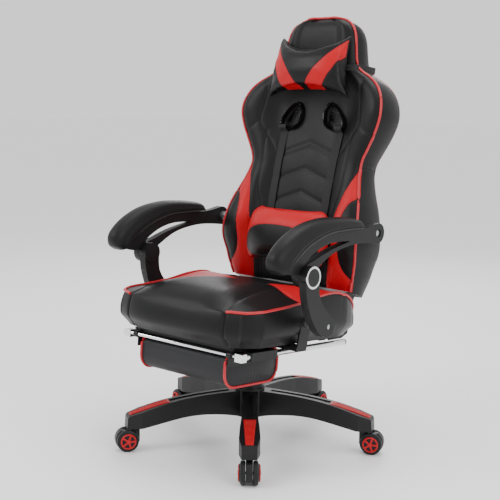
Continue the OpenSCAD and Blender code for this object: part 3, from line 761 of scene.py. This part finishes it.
def lumbar_half(z):
    return reading([(2, 128), (20, 141), (60, 147), (100, 146), (136, 138), (152, 126), (160, 112)], z)


lumbar_pillow = panel_block("lumbar_pillow_cover", 84, 56, 4)
a, b, c = corners_of(lumbar_pillow)
c = -c
z = 3 + 157 * (b + 1) / 2
x = a * lumbar_half(z)
crown = (1 - np.abs(a) ** 3.0) ** 0.75 * (1 - np.abs(b) ** 2.6) ** 0.7
front = -112 - 54 * crown
rear = -104 + 8 * crown
y = front + (rear - front) * c
move_corners(lumbar_pillow, x / 1000, y / 1000, z / 1000)
face_outwards(lumbar_pillow)
settle(lumbar_pillow, 0.007)
x, y, z = corners_of(lumbar_pillow) * 1000
pucker = np.array([noise.noise(Vector((p * 0.03, q * 0.02, r * 0.045))) for p, q, r in zip(x, y, z)])
rim = np.clip(1 - np.abs(y + 110) / 40, 0, 1)
y = y + pucker * 2.4 * rim
move_corners(lumbar_pillow, x / 1000, y / 1000, z / 1000)
panel = rounded([(-130, -2), (130, -2), (128, 104), (-128, 104)], 3)
inside = depth_inside(x, z, panel)
front_side = y < -116
mark(lumbar_pillow, "red", np.where(front_side, -inside, 10) / 1000)
mark(lumbar_pillow, "seam", np.where(front_side, np.minimum(np.abs(inside), 40), 40) / 1000)
lumbar_pillow.data.materials.append(bag_hide)
face_outwards(lumbar_pillow)
lean_back(lumbar_pillow)
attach(lumbar_pillow, "lumbar")
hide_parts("lumbar_pillow")

# ---- Head pillow ----
# A softly stuffed bag with drawn-out corners and a dip in its top edge. Two red bands sweep down from its top corners
# and meet at the middle of its lower edge, and a black elastic band holds it round the neck of the backrest.
head_pillow = panel_block("head_pillow_cover", 84, 60, 4)
a, b, c = corners_of(head_pillow)
c = -c
share = np.abs(a)
top = 622 + 34 * share**2.2
bottom = 490 - 17 * share**2.4
z = bottom + (top - bottom) * (b + 1) / 2
width = 132 + 14 * ((1 - b) / 2) ** 1.2 - 10 * (1 - b**2)
x = a * width
crown = np.clip(1 - share**2.6, 0, 1) ** 0.7 * np.clip(1 - np.abs(b) ** 2.4, 0, 1) ** 0.65
front = -118 - 46 * crown
rear = -110 + 2 * crown
y = front + (rear - front) * c
move_corners(head_pillow, x / 1000, y / 1000, z / 1000)
face_outwards(head_pillow)
settle(head_pillow, 0.009)
x, y, z = corners_of(head_pillow) * 1000
pucker = np.array([noise.noise(Vector((p * 0.02, q * 0.02, r * 0.05))) for p, q, r in zip(x, y, z)])
corner_pull = np.clip((np.abs(x) - 84) / 50, 0, 1)
y = y + np.where(y < -114, pucker * (1.2 + 5.0 * corner_pull), 0)
move_corners(head_pillow, x / 1000, y / 1000, z / 1000)
band = list(curve_through([(136, 660), (108, 622), (78, 585), (44, 545), (-2, 484)], 5))
band += list(curve_through([(58, 478), (94, 540), (118, 590), (134, 625), (140, 664)], 5))
inside = depth_inside(np.abs(x), z, band)
front_side = y < -119
mark(head_pillow, "red", np.where(front_side, inside, -10) / 1000)
mark(head_pillow, "seam", np.where(front_side, np.minimum(np.abs(inside), 40), 40) / 1000)
head_pillow.data.materials.append(bag_hide)
face_outwards(head_pillow)
lean_back(head_pillow)
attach(head_pillow, "head")
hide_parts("head_pillow")

half_ring = [(0, -99.5), (100, -99.5), (134, -96), (143, -84), (146.5, -50), (146, -16), (138, 1), (110, 3.5), (0, 3.5)]
ring = spread(rounded(half_ring + [(-x, y) for x, y in reversed(half_ring[1:-1])], 2), 120, closed=True)
bpy.ops.object.select_all(action="DESELECT")
bpy.ops.mesh.primitive_torus_add(major_segments=120, minor_segments=4, major_radius=1, minor_radius=0.1)
elastic = bpy.context.object
elastic.name = "head_elastic"
for i, (px, py) in enumerate(ring):
    length = hypot(px, py + 48)
    for k, (out, up) in enumerate(((0, 563), (1.4, 563), (1.4, 580), (0, 580))):
        elastic.data.vertices[i * 4 + k].co = (px * (1 + out / length) / 1000, (py + (py + 48) * out / length) / 1000,
                                               (up + 0.12 * (py + 48)) / 1000)
face_outwards(elastic)
elastic.data.materials.clear()
elastic.data.materials.append(webbing)
lean_back(elastic)
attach(elastic, "back")
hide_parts("head_strap")

# ---- Arm pads ----
# Foam pads in black leather over the arms, drooping round the front. A double row of stitches runs along their sides.
pad_hide = leather("arm_pad_leather", (0.0075, 0.0075, 0.008, 1), red_leather, 0.42, 0.5)
pad_crest = [(-236, 529), (-257, 545), (-256, 576), (-216, 611), (-152, 639), (-72, 651), (10, 648), (72, 639),
             (88, 628)]
pad_base = [(-226, 532), (-216, 540), (-206, 548), (-182, 566), (-136, 591), (-60, 612.2), (10, 615), (70, 614.6),
            (88, 614.2)]
for side, word in ((1, "left"), (-1, "right")):
    arm_pad = panel_block(f"arm_pad_cover_{word}", 40, 110, 10)
    a, b, c = corners_of(arm_pad)
    c = -c
    crest, base = spread(curve_through(pad_crest, 10), 200), spread(curve_through(pad_base, 10), 200)
    run = (b + 1) / 2 * 199
    tip = np.clip(1 - np.abs(b) ** 14, 0, 1) ** 0.5
    share = np.abs(a)
    roof = 0.46 + 0.54 * np.clip(1 - share**2.7, 0, 1) ** 0.55
    end_round = 0.35 + 0.65 * np.clip(1 - np.clip((b - 0.93) / 0.07, 0, 1) ** 2.5, 0, 1) ** 0.5
    lift = roof * end_round * (1 - c) + 0.0 * c
    index = np.arange(200)
    y = np.interp(run, index, base[:, 0]) * (1 - lift) + np.interp(run, index, crest[:, 0]) * lift
    z = np.interp(run, index, base[:, 1]) * (1 - lift) + np.interp(run, index, crest[:, 1]) * lift
    belly = np.where((c > 0.001) & (c < 0.999), 2.4 * np.sin(pi * c), 0)
    stitch_fold = np.exp(-(((c - 0.55) / 0.07) ** 2)) * 1.4
    width = (25 + 4.2 * tip) * (0.86 + 0.14 * np.clip(1 - np.clip((-b - 0.86) / 0.14, 0, 1) ** 2, 0, 1) ** 0.5)
    x = a * width + np.sign(a) * np.where(share > 0.999, belly - stitch_fold, 0)
    x = np.where(c > 0.85, x * (1 - 0.10 * ease_in((c - 0.85) / 0.15)), x)
    move_corners(arm_pad, (side * 283 + x) / 1000, y / 1000, z / 1000)
    mark(arm_pad, "red", np.full(x.shape, -0.01))
    mark(arm_pad, "seam", np.where((share > 0.999) & (c > 0.001), np.abs(c - 0.55) * 0.03, 0.04))
    arm_pad.data.materials.append(pad_hide)
    face_outwards(arm_pad)
    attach(arm_pad, f"arm_{word[0]}")
    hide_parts(f"arm_pad_{word}")

# ---- Arm hub faces ----
# A screwed-on black disc with a turned groove closes each front hub; only the left one is made here, and it sits in a
# chrome ring.
hub_centre = (-0.137, 0.514)
for face, name, body, radius in ((0.3196, "hub_face_left", "link_l", 0.0238),):
    bpy.ops.object.select_all(action="DESELECT")
    bpy.ops.mesh.primitive_cylinder_add(vertices=64, radius=radius, depth=0.003, rotation=(0, pi / 2, 0),
                                        location=(face, *hub_centre))
    hub_face = bpy.context.object
    hub_face.name = name
    bpy.ops.object.transform_apply(location=True, rotation=True, scale=True)
    for polygon in hub_face.data.polygons:
        polygon.select = abs(polygon.normal.x) > 0.9 and polygon.center.x > face
    bpy.ops.object.mode_set(mode="EDIT")
    bpy.ops.mesh.select_mode(type="FACE")
    for inset, push in ((0.0012, 0.0), (0.0008, -0.0012), (0.006, 0.0), (0.0008, 0.0008), (0.007, 0.0),
                        (0.0006, -0.0008)):
        bpy.ops.mesh.inset(thickness=inset, depth=push)
    bpy.ops.object.mode_set(mode="OBJECT")
    face_outwards(hub_face)
    hub_face.data.materials.append(arm_plastic)
    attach(hub_face, body)

# ---- Footrest pad ----
# A foam pad in black leather, round in section, that hangs from the chrome rod. Red piping closes both of its ends,
# and the leather is gathered where it turns under.
foot_outline = []
for centre_y, centre_z, radius, start, stop in ((-246, 273, 22, 90, 180), (-230, 249, 38, 180, 270),
                                                (-102, 247, 36, 270, 360), (-82, 279, 16, 0, 90)):
    for step in range(9):
        turn = radians(start + (stop - start) * step / 8)
        foot_outline.append((centre_y + radius * cos(turn), centre_z + radius * sin(turn)))
foot_profile = spread(foot_outline, 96, closed=True)
foot_middle = foot_profile.mean(axis=0)
bpy.ops.object.select_all(action="DESELECT")
bpy.ops.mesh.primitive_uv_sphere_add(segments=96, ring_count=76, radius=1)
foot_pad = bpy.context.object
foot_pad.name = "footrest_pad_cover"
gaps = []
for corner in foot_pad.data.vertices:
    ring = int(round((1 - np.arccos(np.clip(corner.co.z, -1, 1)) / pi) * 76))
    turn = int(round(np.arctan2(corner.co.y, corner.co.x) / (2 * pi) * 96)) % 96
    from_end = min(ring, 76 - ring)
    share = min(from_end / 14, 1.0)
    if from_end <= 14:
        along = 158.0 - 9.0 * share**3 + (1 - share**2) * 1.5
        pull = share
    else:
        part = (ring - 14) / 48
        along = 149.0 * abs(2 * part - 1) if from_end < 38 else 0.0
        along = 149.0 * abs(2 * part - 1)
        pull = 1.0
    side = 1 if ring > 38 else -1
    py, pz = foot_middle + (foot_profile[turn] - foot_middle) * pull
    gather = 0.0
    if from_end <= 14 and pz < foot_middle[1]:
        gather = 1.6 * sin(py * 0.55) * share * np.clip((foot_middle[1] - pz) / 30, 0, 1)
    sag = 1.6 * noise.noise(Vector((along * side * 0.012, py * 0.02, pz * 0.02)))
    corner.co = (side * (along - gather) / 1000, (py + (sag if from_end > 14 else 0)) / 1000, pz / 1000)
    gaps.append(min(abs(from_end - 14) * 0.006, 0.04))
mark(foot_pad, "seam", gaps)
mark(foot_pad, "red", [-0.01] * len(gaps))
foot_pad.data.materials.append(leather("footrest_leather", (0.022, 0.022, 0.024, 1), red_leather, 0.46, 0.5))
face_outwards(foot_pad)
set_in_place(foot_pad, seat_pivot, seat_lean)
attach(foot_pad, "footpad")
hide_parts("footrest_pad")
for side, word in ((1, "left"), (-1, "right")):
    loop = [(side * 0.1505, *((foot_middle + (p - foot_middle) * 1.012) / 1000)) for p in foot_profile]
    foot_piping = cord_of(f"footrest_piping_{word}", loop, 0.0036)
    foot_piping.data.materials.append(piping_hide)
    set_in_place(foot_piping, seat_pivot, seat_lean)
    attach(foot_piping, "footpad")

# ---- Base inserts ----
# Red moulded strips are let into the top of each leg near its tip, with fine ribs along them.
for k in range(5):
    insert = panel_block(f"base_insert_ribbed_{k + 1}", 48, 30, 1)
    a, b, c = corners_of(insert)
    c = -c
    reach = (b + 1) / 2
    x = 233.4 + 106.8 * reach
    half = (16.2 - 6.3 * reach) * (1 - 0.12 * np.clip((np.abs(b) - 0.9) / 0.1, 0, 1))
    top = np.interp(x, [150, 190, 230, 260, 290, 320, 344], [139, 134.2, 128, 122.0, 114.4, 105.6, 98.0])
    rib = 0.7 * np.abs(np.sin(pi * 4 * (a + 1))) * (np.abs(a) < 0.96) * (np.abs(b) < 0.94)
    z = top + 1.0 + rib - 0.8 * (np.abs(a) > 0.96) - 2.6 * c
    turn = radians(41 - 90 + 72 * k)
    y = a * half
    move_corners(insert, (x * cos(turn) - y * sin(turn)) / 1000, (x * sin(turn) + y * cos(turn)) / 1000, z / 1000)
    face_outwards(insert)
    insert.data.materials.append(red_plastic)
    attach(insert, "base")

# ---- Caster hubs ----
# A red moulded wheel trim is clipped to the outside of each tyre: a rim, five spokes and a cap over a dark dish.
def hub_trim(name):
    """One trim, drawn about the X axis with its back at x = 0."""
    bpy.ops.object.select_all(action="DESELECT")
    bpy.ops.mesh.primitive_torus_add(major_segments=48, minor_segments=10, major_radius=0.0192, minor_radius=0.0024,
                                     rotation=(0, pi / 2, 0))
    parts = [bpy.context.object]
    for k in range(5):
        turn = 2 * pi * k / 5
        bpy.ops.mesh.primitive_cube_add(size=1, location=(0.0012, 0.0108 * cos(turn), 0.0108 * sin(turn)),
                                        rotation=(turn, 0, 0), scale=(0.0030, 0.0165, 0.0052))
        parts.append(bpy.context.object)
    bpy.ops.mesh.primitive_cylinder_add(vertices=32, radius=0.0062, depth=0.0044, location=(0.0013, 0, 0),
                                        rotation=(0, pi / 2, 0))
    parts.append(bpy.context.object)
    for part in parts:
        part.select_set(True)
    bpy.context.view_layer.objects.active = parts[0]
    bpy.ops.object.join()
    trim = bpy.context.object
    trim.name = name
    bpy.ops.object.transform_apply(location=True, rotation=True, scale=True)
    bevel = trim.modifiers.new("Bevel", "BEVEL")
    bevel.width = 0.0007
    bevel.segments = 2
    bevel.limit_method = "ANGLE"
    bpy.ops.object.modifier_apply(modifier="Bevel")
    return trim


for k in range(5):
    turn = radians(41 - 90 + 72 * k)
    for side in (1, -1):
        trim = hub_trim(f"caster_hub_{k + 1}_{'a' if side > 0 else 'b'}")
        facing = Matrix.Rotation(turn + side * pi / 2, 4, "Z")
        centre = Vector((0.348 * cos(turn), 0.348 * sin(turn), 0.03)) + facing.to_3x3() @ Vector((0.0256, 0, 0))
        trim.data.transform(Matrix.Translation(centre) @ facing)
        face_outwards(trim)
        trim.data.materials.append(red_plastic)
        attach(trim, f"wheels_{k + 1}")
